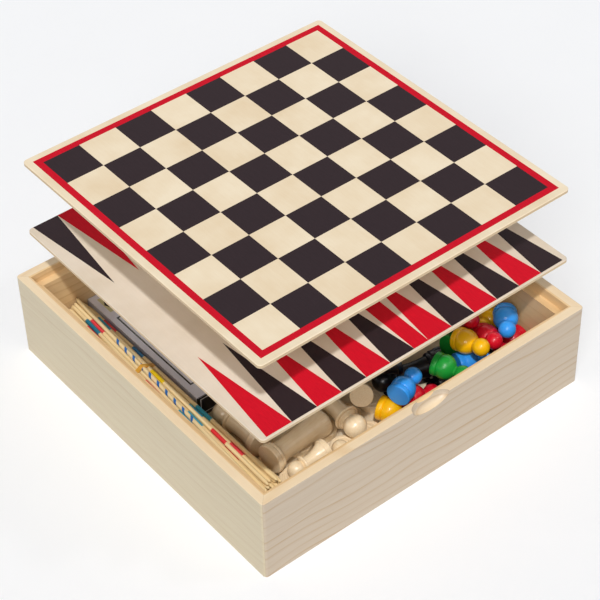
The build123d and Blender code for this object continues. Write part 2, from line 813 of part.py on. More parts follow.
def main():
    """Builds and writes every node."""
    os.makedirs("parts", exist_ok=True)
    for name, wall in case_walls().items():
        save(name, [wall])
    save("base_panel", [base_panel()])
    lifted = LEDGE + BACKGAMMON_LIFT
    save("backgammon_board", [board(BACKGAMMON_GAP, lifted)])
    save("chess_board", [board(CHESS_GAP, lifted + BOARD_THICKNESS + CHESS_LIFT)])
    for kind, rods in sticks().items():
        save("mikado_stick" if kind == "mikado" else f"{kind}_sticks", rods)
    save("rubber_band", [rubber_band()])
    save("domino_carton", [domino_carton()])
    save("domino_tiles", domino_tiles())
    for name, solids in men().items():
        save(name, solids)


if __name__ == "__main__":
    main()
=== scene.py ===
"""Looks of a games compendium: a pine case, two printed boards and the games that lie in it.

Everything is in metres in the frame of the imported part. The walls, the boards and the carton
keep their CAD shape and get a finish. The turned men, draughts and dice get a copy that knows
each piece's own grain. The sticks and their rubber band are made anew in the same places.
"""

import json
import logging
import math
from collections.abc import Sequence
from dataclasses import dataclass, field
from enum import Enum

import bmesh
import bpy
import numpy as np
from mathutils import Matrix, Vector


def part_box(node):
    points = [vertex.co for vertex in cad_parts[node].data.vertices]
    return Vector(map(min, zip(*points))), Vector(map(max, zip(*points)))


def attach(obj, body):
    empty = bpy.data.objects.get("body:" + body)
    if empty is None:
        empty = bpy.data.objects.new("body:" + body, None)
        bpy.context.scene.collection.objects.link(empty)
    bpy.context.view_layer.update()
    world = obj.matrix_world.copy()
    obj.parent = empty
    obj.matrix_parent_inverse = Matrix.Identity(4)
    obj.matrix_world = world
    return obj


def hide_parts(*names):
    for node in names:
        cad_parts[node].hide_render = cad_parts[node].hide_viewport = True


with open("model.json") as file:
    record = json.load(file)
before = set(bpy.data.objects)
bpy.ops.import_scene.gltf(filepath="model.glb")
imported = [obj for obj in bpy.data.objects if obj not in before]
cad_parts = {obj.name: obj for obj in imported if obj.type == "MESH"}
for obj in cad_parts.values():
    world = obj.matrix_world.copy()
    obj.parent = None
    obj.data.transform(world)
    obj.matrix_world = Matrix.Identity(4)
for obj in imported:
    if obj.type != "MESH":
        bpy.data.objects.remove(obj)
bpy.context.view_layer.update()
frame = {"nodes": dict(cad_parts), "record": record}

MM = 0.001
GOLDEN = 0.618
LOG = logging.getLogger("compendium")
Colour = tuple[float, float, float, float]
Value = bpy.types.NodeSocket | float | Sequence[float] | None


def linear(code: str) -> Colour:
    """Turns an sRGB hex value into a linear colour.

    Args:
        code: Six hex digits after a hash sign.

    Returns:
        Red, green, blue and an alpha of 1.
    """
    parts = (int(code[i : i + 2], 16) / 255 for i in (1, 3, 5))
    return (*(c / 12.92 if c <= 0.04045 else ((c + 0.055) / 1.055) ** 2.4 for c in parts), 1.0)


def add(tree: bpy.types.NodeTree, kind: str, *values: Value, out: int | str = 0,
        named: dict[str, Value] | None = None, stops: Sequence[tuple[float, Colour]] = (),
        **settings: object) -> bpy.types.NodeSocket:
    """Adds a shader node with its settings and links.

    Args:
        tree: The node tree that gets the node.
        kind: The node's type without its ShaderNode prefix.
        values: What each input gets, in order: a socket to link, a constant, or None.
        out: The output that is returned.
        named: Inputs that are reached by name.
        stops: Places and colours of a colour ramp.
        settings: Properties of the node.

    Returns:
        One output of the new node.
    """
    node = tree.nodes.new(f"ShaderNode{kind}")
    for key, value in settings.items():
        setattr(node, key, value)
    pairs = list(zip(node.inputs, values)) + [(node.inputs[k], v) for k, v in (named or {}).items()]
    for socket, value in pairs:
        if isinstance(value, bpy.types.NodeSocket):
            tree.links.new(value, socket)
        elif value is not None:
            socket.default_value = value
    if stops:
        ramp = node.color_ramp.elements
        while len(ramp) < len(stops):
            ramp.new(1.0)
        for element, (place, colour) in zip(ramp, sorted(stops)):
            element.position, element.color = place, colour
    return node.outputs[out]


def coordinates(tree: bpy.types.NodeTree, attribute: str | None = None) -> bpy.types.NodeSocket:
    """Coordinates in millimetres.

    Args:
        tree: The material's nodes.
        attribute: A vector attribute in millimetres, or None for Object coordinates.

    Returns:
        A vector socket.
    """
    if attribute:
        return add(tree, "Attribute", attribute_name=attribute, out="Vector")
    place = add(tree, "TexCoord", out="Object")
    return add(tree, "VectorMath", place, (1 / MM,) * 3, operation="MULTIPLY")


# ------------------------------------------------------------------ finishes
class Along(Enum):
    """The way a board's grain runs in the frame."""

    X = "x"
    Y = "y"


@dataclass(frozen=True)
class Finish:
    """A surface as its maker would name it."""

    name: str

    def material(self) -> bpy.types.Material:
        """Makes the material.

        Returns:
            A material whose one shader is linked to what surface gives.
        """
        made = bpy.data.materials.new(self.name)
        made.use_nodes = True
        tree = made.node_tree
        shader = tree.nodes["Principled BSDF"]
        for key, value in self.surface(tree).items():
            socket = shader.inputs[key]
            if isinstance(value, bpy.types.NodeSocket):
                tree.links.new(value, socket)
            else:
                socket.default_value = value
        return made

    def surface(self, tree: bpy.types.NodeTree) -> dict[str, Value]:
        """What each socket of the shader gets."""
        raise NotImplementedError


def fibres(tree: bpy.types.NodeTree, u: Value, v: Value, w: Value, size: tuple[float, float]
           ) -> bpy.types.NodeSocket:
    """Noise drawn out along the grain.

    Args:
        tree: The material's nodes.
        u: Millimetres along the grain.
        v: Millimetres across it.
        w: Millimetres across it the other way.
        size: How long and how wide a fibre is, in millimetres.

    Returns:
        A value socket from 0 to 1, mostly near one half.
    """
    along, across = (1 / side for side in size)
    place = add(tree, "VectorMath", add(tree, "CombineXYZ", u, v, w), (along, across, across),
                operation="MULTIPLY")
    return add(tree, "TexNoise", place, None, 1.0, 3.0, 0.55)


@dataclass(frozen=True)
class LacqueredPine(Finish):
    """Slash-sawn pine, planed and sealed with one coat of satin lacquer.

    Pale early wood with thin darker late wood at each growth ring, which drifts along the
    board and is strong in one year and faint in another, and short fibres that the sealer
    leaves slightly proud. Shade is painted into the colour: the faces that look out from the
    case and don't face up get a darker, greyer tone of painted shade, blended in over the
    rounded edges and the thumb scoop, and the faces inside the case get a darker, warmer tone
    of painted shade that also stands in for light bounced between the walls.
    waves of that drift are along and across the board, and a fibre's length and width. A
    ring darkens with the power "rise" and fades over one part in "fall" of its width.
    Real fibres are too fine to show, so they are drawn half a millimetre wide. A contrast,
    as in the other finishes, is a gain and an offset, and so is a roughness.
    """

    along: Along = Along.X
    early: str = "#f1dbb9"
    late: str = "#d6b07c"
    # Painted shade: the inside's darker, warmer tones and the outward faces' darker, greyer tones.
    inner_shade_early: str = "#ecca98"
    inner_shade_late: str = "#c69a62"
    side_shade_early: str = "#cec2a7"
    side_shade_late: str = "#a67f4a"
    glue: str = "#8d6c45"
    rim_from: float = 138.4
    round_off: float = 2.6
    figure: float = 0.8
    ring: float = 8.2
    ring_lean: float = 0.21
    rise: float = 7.0
    fall: float = 9.0
    year_contrast: tuple[float, float] = (1.1, 0.25)
    drift: float = 34.0
    waves: tuple[float, float, float] = (190.0, 70.0, 60.0)
    patch: tuple[float, float] = (70.0, 16.0)
    patch_contrast: tuple[float, float] = (2.0, -0.15)
    fine: tuple[float, float] = (16.0, 0.45)
    fine_contrast: tuple[float, float] = (0.42, -0.31)
    wide: tuple[float, float] = (55.0, 3.2)
    wide_strength: float = 0.3
    roughness: tuple[float, float] = (0.16, 0.36)
    seam: float = 0.16
    seam_strength: float = 0.3
    seed: float = 0.0

    def surface(self, tree: bpy.types.NodeTree) -> dict[str, Value]:
        """Growth rings, fibres and the dark line of a glued mitre.

        Args:
            tree: The material's nodes.

        Returns:
            What each socket of the shader gets.
        """
        x, y, w = add(tree, "SeparateXYZ", coordinates(tree)).node.outputs
        u, v = (x, y) if self.along is Along.X else (y, x)
        places = (add(tree, "Math", side, 1 / wave, start, operation="MULTIPLY_ADD")
                  for side, wave, start in zip((u, v, w), self.waves, (0.0, self.seed, 0.0)))
        wander = add(tree, "TexNoise", add(tree, "CombineXYZ", *places), None, 1.0, 2.0, 0.5)
        tilt = add(tree, "Math", v, self.ring_lean, w, operation="MULTIPLY_ADD")
        rings = add(tree, "Math", wander, self.drift, tilt, operation="MULTIPLY_ADD")
        rings = add(tree, "Math", rings, 1 / self.ring, operation="MULTIPLY")
        year = add(tree, "CombineXYZ", add(tree, "Math", rings, operation="FLOOR"), self.seed)
        year = add(tree, "Math", add(tree, "TexWhiteNoise", year), *self.year_contrast,
                   operation="MULTIPLY_ADD", use_clamp=True)
        rings = add(tree, "Math", rings, operation="FRACT")
        rise = add(tree, "Math", rings, self.rise, operation="POWER")
        fall = add(tree, "Math", add(tree, "Math", 1.0, rings, operation="SUBTRACT"), self.fall,
                   operation="MULTIPLY", use_clamp=True)
        late = add(tree, "Math", add(tree, "Math", rise, fall, operation="MULTIPLY"), year,
                   operation="MULTIPLY")
        patch, fine, wide = (fibres(tree, u, v, w, size)
                             for size in (self.patch, self.fine, self.wide))
        patch = add(tree, "Math", patch, *self.patch_contrast, operation="MULTIPLY_ADD",
                    use_clamp=True)
        late = add(tree, "Math", late, patch, operation="MULTIPLY")
        amount = add(tree, "Math", fine, *self.fine_contrast, operation="MULTIPLY_ADD")
        amount = add(tree, "Math", wide, self.wide_strength, amount, operation="MULTIPLY_ADD")
        amount = add(tree, "Math", late, self.figure, amount, operation="MULTIPLY_ADD",
                     use_clamp=True)
        far_x, far_y = (add(tree, "Math", side, operation="ABSOLUTE") for side in (x, y))
        reach = add(tree, "Math", far_x, far_y, operation="MAXIMUM")
        # Painted shade: faces beyond rim_from whose normal doesn't point up take the outward faces'
        # darker tones, blended in gradually where the normal tilts, as on rounded edges and the
        # scoop; faces within rim_from take the inside's darker, warmer tones.
        upright = add(tree, "SeparateXYZ", add(tree, "TexCoord", out="Normal"), out=2)
        upright = add(tree, "Math", add(tree, "Math", upright, operation="ABSOLUTE"),
                      -self.round_off, self.round_off, operation="MULTIPLY_ADD", use_clamp=True)
        side_shade_mask = add(tree, "Math", reach, self.rim_from, operation="GREATER_THAN")
        side_shade_mask = add(tree, "Math", side_shade_mask, upright, operation="MULTIPLY")
        inside = add(tree, "Math", reach, self.rim_from, operation="LESS_THAN")
        colours = []
        for rim, inner_shade_colour, side_shade_colour in ((self.early, self.inner_shade_early, self.side_shade_early),
                                  (self.late, self.inner_shade_late, self.side_shade_late)):
            tone = add(tree, "MixRGB", inside, linear(rim), linear(inner_shade_colour))
            colours.append(add(tree, "MixRGB", side_shade_mask, tone, linear(side_shade_colour)))
        colour = add(tree, "MixRGB", amount, *colours)
        gap = add(tree, "Math", far_x, far_y, operation="SUBTRACT")
        seam = add(tree, "Math", add(tree, "Math", gap, operation="ABSOLUTE"), self.seam,
                   operation="LESS_THAN")
        seam = add(tree, "Math", seam, self.seam_strength, operation="MULTIPLY")
        colour = add(tree, "MixRGB", seam, colour, linear(self.glue))
        bump = add(tree, "Bump", named={"Strength": 0.25, "Distance": 0.00008, "Height": amount})
        rough = add(tree, "Math", fine, *self.roughness, operation="MULTIPLY_ADD")
        return {"Base Color": colour, "Roughness": rough, "Normal": bump, "Coat Weight": 0.12,
                "Coat Roughness": 0.3}


@dataclass(frozen=True)
class BirchPly(Finish):
    """Rotary-cut birch plywood under a thin satin seal, as on the case's bottom.

    Even and pale with a little cloudiness and short dark pores. Its edge shows the plies.
    Clouds are measured per millimetre, and pores and streaks by length and width. Real
    pores are a tenth of a millimetre wide, and these are drawn coarser so that they show.
    """

    face: str = "#f5e5c9"
    shade: str = "#e6ceaa"
    edge: str = "#d9c3a2"
    glue: str = "#a98a66"
    low: float = 6.0
    thickness: float = 4.0
    plies: int = 3
    core_strength: float = 0.3
    line: float = 0.09
    line_strength: float = 0.35
    edge_from: float = 0.45
    cloud: float = 0.022
    cloud_contrast: tuple[float, float] = (2.0, -1.06)
    pore: tuple[float, float] = (9.0, 0.5)
    pore_strength: float = 0.5
    streak: tuple[float, float] = (60.0, 2.4)
    streak_strength: float = 0.3
    ink_height: float = 0.6
    roughness: tuple[float, float] = (0.12, 0.5)

    def veneer(self, tree: bpy.types.NodeTree, x: Value, y: Value, z: Value
               ) -> tuple[bpy.types.NodeSocket, bpy.types.NodeSocket]:
        """The bare face.

        Args:
            tree: The material's nodes.
            x: Millimetres across the grain.
            y: Millimetres along it.
            z: Millimetres through the board.

        Returns:
            Its colour, and the fine fibres for its bump.
        """
        cloud = add(tree, "TexNoise", add(tree, "CombineXYZ", x, y, z), None, self.cloud, 3.0, 0.6)
        fine = fibres(tree, y, x, z, self.pore)
        streak = fibres(tree, y, x, z, self.streak)
        amount = add(tree, "Math", cloud, *self.cloud_contrast, operation="MULTIPLY_ADD")
        amount = add(tree, "Math", fine, self.pore_strength, amount, operation="MULTIPLY_ADD")
        amount = add(tree, "Math", streak, self.streak_strength, amount,
                     operation="MULTIPLY_ADD", use_clamp=True)
        return add(tree, "MixRGB", amount, linear(self.face), linear(self.shade)), fine

    def surface(self, tree: bpy.types.NodeTree) -> dict[str, Value]:
        """The veneered faces with what is printed on them, and the layered edge.

        Args:
            tree: The material's nodes.

        Returns:
            What each socket of the shader gets.
        """
        x, y, z = add(tree, "SeparateXYZ", coordinates(tree)).node.outputs
        colour, fine = self.veneer(tree, x, y, z)
        colour, ink = self.printed(tree, x, y, z, colour)
        normal = add(tree, "SeparateXYZ", add(tree, "TexCoord", out="Normal"), out=2)
        side = add(tree, "Math", add(tree, "Math", normal, operation="ABSOLUTE"), self.edge_from,
                   operation="LESS_THAN")
        depth = add(tree, "Math", z, self.plies / self.thickness,
                    -self.low * self.plies / self.thickness, operation="MULTIPLY_ADD")
        layer = add(tree, "Math", depth, 0.5, operation="PINGPONG")
        core = add(tree, "Math", depth, self.plies / 2, 0.5, operation="COMPARE")
        core = add(tree, "Math", core, self.core_strength, operation="MULTIPLY")
        edge = add(tree, "MixRGB", core, linear(self.edge), linear(self.glue))
        line = add(tree, "Math", add(tree, "Math", layer, self.line, operation="LESS_THAN"),
                   self.line_strength, operation="MULTIPLY")
        edge = add(tree, "MixRGB", line, edge, linear(self.glue))
        colour = add(tree, "MixRGB", side, colour, edge)
        height = add(tree, "Math", ink, self.ink_height, fine, operation="MULTIPLY_ADD")
        bump = add(tree, "Bump", named={"Strength": 0.2, "Distance": 0.00005, "Height": height})
        rough = add(tree, "Math", ink, *self.roughness, operation="MULTIPLY_ADD")
        return {"Base Color": colour, "Roughness": rough, "Normal": bump,
                "Specular IOR Level": 0.15}

    def printed(self, tree: bpy.types.NodeTree, x: Value, y: Value, z: Value,
                wood: bpy.types.NodeSocket) -> tuple[bpy.types.NodeSocket, Value]:
        """Nothing is printed on bare plywood: the wood's colour and no ink."""
        return wood, 0.0


@dataclass(frozen=True)
class PrintedBoard(BirchPly):
    """Birch plywood with a screen-printed face.

    The ink is thick and dull, and a little of the veneer's fibre shows through it.
    """

    black: str = "#2a1e22"
    red: str = "#cb0c25"
    ink_depth: float = 0.3
    fleck: tuple[float, float] = (7.0, 0.6)
    fleck_contrast: tuple[float, float] = (0.5, 0.75)

    def masks(self, tree: bpy.types.NodeTree, x: Value, y: Value) -> tuple[Value, Value]:
        """Where the black ink and the red ink lie."""
        raise NotImplementedError

    def printed(self, tree: bpy.types.NodeTree, x: Value, y: Value, z: Value,
                wood: bpy.types.NodeSocket) -> tuple[bpy.types.NodeSocket, Value]:
        """Lays the two inks over the wood's upper face.

        Args:
            tree: The material's nodes.
            x: Millimetres from the board's middle.
            y: Millimetres from the board's middle.
            z: Height in millimetres.
            wood: The bare wood's colour.

        Returns:
            The printed colour, and how much ink lies there.
        """
        top = add(tree, "Math", z, self.low + self.thickness - self.ink_depth,
                  operation="GREATER_THAN")
        black, red = (add(tree, "Math", mask, top,
                          operation="MULTIPLY") for mask in self.masks(tree, x, y))
        fleck = fibres(tree, y, x, z, self.fleck)
        fleck = add(tree, "Math", fleck, *self.fleck_contrast, operation="MULTIPLY_ADD")
        colour = wood
        for mask, ink in ((black, self.black), (red, self.red)):
            tone = add(tree, "MixRGB", 1.0, linear(ink), fleck, blend_type="MULTIPLY")
            colour = add(tree, "MixRGB", mask, colour, tone)
        return colour, add(tree, "Math", black, red, operation="MAXIMUM")


@dataclass(frozen=True)
class ChessPrint(PrintedBoard):
    """Eight by eight squares inside one red line."""

    square: float = 30.7
    line_inner: float = 121.9
    line_outer: float = 127.1

    def masks(self, tree: bpy.types.NodeTree, x: Value, y: Value) -> tuple[Value, Value]:
        """The dark squares, and the line round them.

        Args:
            tree: The material's nodes.
            x: Millimetres from the board's middle.
            y: Millimetres from the board's middle.

        Returns:
            How much black ink and how much red ink lies there.
        """
        place = add(tree, "CombineXYZ", x, y, 0.0)
        cell = add(tree, "VectorMath", place, (1 / self.square, 1 / self.square, 0),
                   (0.0, 0.0, 0.5), operation="MULTIPLY_ADD")
        dark = add(tree, "TexChecker", cell, (1, 1, 1, 1), (0, 0, 0, 1), 1.0, out=1)
        reach = add(tree, "Math", add(tree, "Math", x, operation="ABSOLUTE"),
                    add(tree, "Math", y, operation="ABSOLUTE"), operation="MAXIMUM")
        inside = add(tree, "Math", reach, self.line_inner, operation="LESS_THAN")
        red = add(tree, "Math", reach, (self.line_inner + self.line_outer) / 2,
                  (self.line_outer - self.line_inner) / 2, operation="COMPARE")
        return add(tree, "Math", dark, inside, operation="MULTIPLY"), red


@dataclass(frozen=True)
class BackgammonPrint(PrintedBoard):
    """Twenty-four points in two inks and the bar between its two tables."""

    face: str = "#e4d8c8"
    shade: str = "#d4c5af"
    half: float = 135.0
    point: float = 20.7
    height: float = 86.5
    bar: float = 6.3
    front_margin: float = 1.5
    back_margin: float = 0.5

    def masks(self, tree: bpy.types.NodeTree, x: Value, y: Value) -> tuple[Value, Value]:
        """The points of each ink, and the bar with the red ones.

        Args:
            tree: The material's nodes.
            x: Millimetres from the board's middle.
            y: Millimetres from the board's middle.

        Returns:
            How much black ink and how much red ink lies there.
        """
        across = add(tree, "Math", x, operation="ABSOLUTE")
        place = add(tree, "Math", across, -self.bar, operation="ADD")
        place = add(tree, "Math", place, 1 / self.point, operation="MULTIPLY")
        number = add(tree, "Math", place, operation="FLOOR")
        middle = add(tree, "Math", add(tree, "Math", place, operation="FRACT"), 0.5,
                     operation="SUBTRACT")
        width = add(tree, "Math", add(tree, "Math", middle, operation="ABSOLUTE"), 2.0,
                    operation="MULTIPLY")
        back = add(tree, "Math", y, 0.0, operation="GREATER_THAN")
        margin = add(tree, "Math", back, self.back_margin - self.front_margin, self.front_margin,
                     operation="MULTIPLY_ADD")
        depth = add(tree, "Math", self.half, add(tree, "Math", y, operation="ABSOLUTE"),
                    operation="SUBTRACT")
        depth = add(tree, "Math", depth, margin, operation="SUBTRACT")
        depth = add(tree, "Math", depth, 1 / self.height, operation="MULTIPLY")
        inside = add(tree, "Math", add(tree, "Math", width, depth, operation="ADD"), 1.0,
                     operation="LESS_THAN")
        inside = add(tree, "Math", inside, add(tree, "Math", depth, 0.0, operation="GREATER_THAN"),
                     operation="MULTIPLY")
        table = add(tree, "Math", across, self.bar + 3 * self.point, 3 * self.point,
                    operation="COMPARE")
        inside = add(tree, "Math", inside, table, operation="MULTIPLY")
        turn = add(tree, "Math", number, add(tree, "Math", x, 0.0, operation="LESS_THAN"),
                   operation="ADD")
        turn = add(tree, "Math", turn, back, operation="ADD")
        odd = add(tree, "Math", add(tree, "Math", turn, 2.0, operation="MODULO"), 0.5,
                  operation="GREATER_THAN")
        black = add(tree, "Math", inside, odd, operation="MULTIPLY")
        bar = add(tree, "Math", across, self.bar, operation="LESS_THAN")
        bar = add(tree, "Math", bar, add(tree, "Math", depth, 0.0, operation="GREATER_THAN"),
                  operation="MULTIPLY")
        red = add(tree, "Math", add(tree, "Math", inside, black, operation="SUBTRACT"), bar,
                  operation="MAXIMUM")
        return black, red


@dataclass(frozen=True)
class TurnedWood(Finish):
    """Birch turned on a lathe and tumbled in clear gloss lacquer.

    The grain runs along each piece's own axis, with faint tool rings round it, and every
    piece is a little lighter or darker than the next, as it comes from another place along
    the dowel. The grain is drawn about a millimetre wide and the tool rings half of that,
    coarser than real ones, so that they show.
    """

    pale: str = "#ffebc8"
    warm: str = "#efd0a0"
    dowel: float = 90.0
    tone_strength: float = 0.3
    grain: tuple[float, float] = (26.0, 1.1)
    grain_contrast: tuple[float, float] = (1.3, -0.9)
    rings: tuple[float, float] = (60.0, 7.0)
    ring_strength: float = 0.7
    tool: float = 2.2

    def surface(self, tree: bpy.types.NodeTree) -> dict[str, Value]:
        """Grain along the axis, tool rings and each piece's own tone.

        Args:
            tree: The material's nodes.

        Returns:
            What each socket of the shader gets.
        """
        x, y, z = add(tree, "SeparateXYZ", coordinates(tree, "grain")).node.outputs
        tone = add(tree, "Attribute", attribute_name="tone", out="Fac")
        shift = add(tree, "Math", tone, self.dowel, z, operation="MULTIPLY_ADD")
        grain = fibres(tree, shift, x, y, self.grain)
        rings = fibres(tree, x, shift, y, self.rings)
        tool = add(tree, "TexNoise", add(tree, "CombineXYZ", 0.0, 0.0, shift), None, self.tool,
                   2.0, 0.6)
        amount = add(tree, "Math", grain, *self.grain_contrast, operation="MULTIPLY_ADD")
        amount = add(tree, "Math", rings, self.ring_strength, amount, operation="MULTIPLY_ADD")
        amount = add(tree, "Math", tone, self.tone_strength, amount, operation="MULTIPLY_ADD",
                     use_clamp=True)
        colour = add(tree, "MixRGB", amount, linear(self.pale), linear(self.warm))
        bump = add(tree, "Bump", named={"Strength": 0.12, "Distance": 0.00006, "Height": tool})
        return {"Base Color": colour, "Roughness": 0.34, "Normal": bump, "Coat Weight": 0.7,
                "Coat Roughness": 0.08}


@dataclass(frozen=True)
class DippedPaint(Finish):
    """Opaque gloss enamel over turned wood, dipped and tumbled.

    Thick enough to hide the grain, with a slight orange peel, and every piece is a little
    brighter or deeper than the next.
    """

    colour: str = "#000000"
    deep: str = "#000000"
    gloss: float = 0.06
    tone_contrast: tuple[float, float] = (0.35, -0.35)
    cloud: float = 0.12
    cloud_strength: float = 0.9
    peel: float = 1.1
    roughness: tuple[float, float] = (0.12, 0.3)

    def surface(self, tree: bpy.types.NodeTree) -> dict[str, Value]:
        """Enamel that varies a little from piece to piece and over each piece.

        Args:
            tree: The material's nodes.

        Returns:
            What each socket of the shader gets.
        """
        place = coordinates(tree, "grain")
        tone = add(tree, "Attribute", attribute_name="tone", out="Fac")
        cloud = add(tree, "TexNoise", place, None, self.cloud, 2.0, 0.5)
        peel = add(tree, "TexNoise", place, None, self.peel, 1.0, 0.4)
        tone = add(tree, "Math", tone, *self.tone_contrast, operation="MULTIPLY_ADD")
        amount = add(tree, "Math", cloud, self.cloud_strength, tone, operation="MULTIPLY_ADD",
                     use_clamp=True)
        colour = add(tree, "MixRGB", amount, linear(self.colour), linear(self.deep))
        bump = add(tree, "Bump", named={"Strength": 0.1, "Distance": 0.00005, "Height": peel})
        rough = add(tree, "Math", cloud, *self.roughness, operation="MULTIPLY_ADD")
        return {"Base Color": colour, "Roughness": rough, "Normal": bump,
                "Specular IOR Level": 0.3, "Coat Weight": 0.3, "Coat Roughness": self.gloss}


@dataclass(frozen=True)
class BoxwoodDie(TurnedWood):
    """Sealed boxwood cube with black ink in its drilled pips."""

    pip: str = "#1a1614"

    def surface(self, tree: bpy.types.NodeTree) -> dict[str, Value]:
        """The wood, and the ink where the pips are.

        Args:
            tree: The material's nodes.

        Returns:
            What each socket of the shader gets.
        """
        parts = super().surface(tree)
        inked = add(tree, "Attribute", attribute_name="inked", out="Fac")
        parts["Base Color"] = add(tree, "MixRGB", inked, parts["Base Color"], linear(self.pip))
        return parts


@dataclass(frozen=True)
class DyedStick(Finish):
    """Split birch rod, unsealed, with bands of spirit dye.

    The dye is bright and bleeds along the fibres a little at each band's ends. The spiral is
    a stripe that takes up a share of its pitch. Each rod is split from another place along
    the billet.
    """

    bands: tuple[tuple[float, float, str], ...] = ()
    spiral: str | None = None
    pale: str = "#fde6b4"
    warm: str = "#f0cd8c"
    billet: float = 300.0
    tone_contrast: tuple[float, float] = (0.5, -0.62)
    grain: tuple[float, float] = (30.0, 0.35)
    grain_strength: float = 1.4
    bleed: float = 3.0
    wood_shows: float = 0.25
    pitch: float = 10.8
    stripe: float = 0.3
    spiral_from: float = 52.0
    spiral_to: float = 158.0

    def surface(self, tree: bpy.types.NodeTree) -> dict[str, Value]:
        """The rod's wood, its bands and the spiral.

        Args:
            tree: The material's nodes.

        Returns:
            What each socket of the shader gets.
        """
        x, y, z = add(tree, "SeparateXYZ", coordinates(tree, "grain")).node.outputs
        tone = add(tree, "Attribute", attribute_name="tone", out="Fac")
        shift = add(tree, "Math", tone, self.billet, z, operation="MULTIPLY_ADD")
        grain = fibres(tree, shift, x, y, self.grain)
        tone = add(tree, "Math", tone, *self.tone_contrast, operation="MULTIPLY_ADD")
        amount = add(tree, "Math", grain, self.grain_strength, tone, operation="MULTIPLY_ADD",
                     use_clamp=True)
        colour = add(tree, "MixRGB", amount, linear(self.pale), linear(self.warm))
        bleed = add(tree, "Math", grain, self.bleed, z, operation="MULTIPLY_ADD")
        for start, end, dye in self.bands:
            mask = add(tree, "Math", bleed, (start + end + self.bleed) / 2, (end - start) / 2,
                       operation="COMPARE")
            tint = add(tree, "MixRGB", self.wood_shows, linear(dye), colour,
                       blend_type="MULTIPLY")
            colour = add(tree, "MixRGB", mask, colour, tint)
        if self.spiral:
            turn = add(tree, "Math", add(tree, "Math", y, x, operation="ARCTAN2"),
                       -1 / (2 * math.pi), operation="MULTIPLY")
            turn = add(tree, "Math", z, 1 / self.pitch, turn, operation="MULTIPLY_ADD")
            turn = add(tree, "Math", turn, operation="FRACT")
            mask = add(tree, "Math", turn, self.stripe, operation="LESS_THAN")
            middle = (self.spiral_from + self.spiral_to) / 2
            within = add(tree, "Math", z, middle, self.spiral_to - middle, operation="COMPARE")
            mask = add(tree, "Math", mask, within, operation="MULTIPLY")
            colour = add(tree, "MixRGB", mask, colour, linear(self.spiral))
        bump = add(tree, "Bump", named={"Strength": 0.3, "Distance": 0.00006, "Height": grain})
        return {"Base Color": colour, "Roughness": 0.5, "Normal": bump}


@dataclass(frozen=True)
class NaturalRubber(Finish):
    """Extruded and cut natural rubber, a little dusty in places."""

    colour: str = "#e09a1e"
    dust: str = "#ecb850"
    cloud: float = 0.4

    def surface(self, tree: bpy.types.NodeTree) -> dict[str, Value]:
        """Amber rubber that lightens where it is dusty.

        Args:
            tree: The material's nodes.

        Returns:
            What each socket of the shader gets.
        """
        cloud = add(tree, "TexNoise", coordinates(tree), None, self.cloud, 3.0, 0.6)
        colour = add(tree, "MixRGB", cloud, linear(self.colour), linear(self.dust))
        bump = add(tree, "Bump", named={"Strength": 0.2, "Distance": 0.00005, "Height": cloud})
        return {"Base Color": colour, "Roughness": 0.42, "Normal": bump,
                "Subsurface Weight": 0.1, "Subsurface Scale": 0.001}


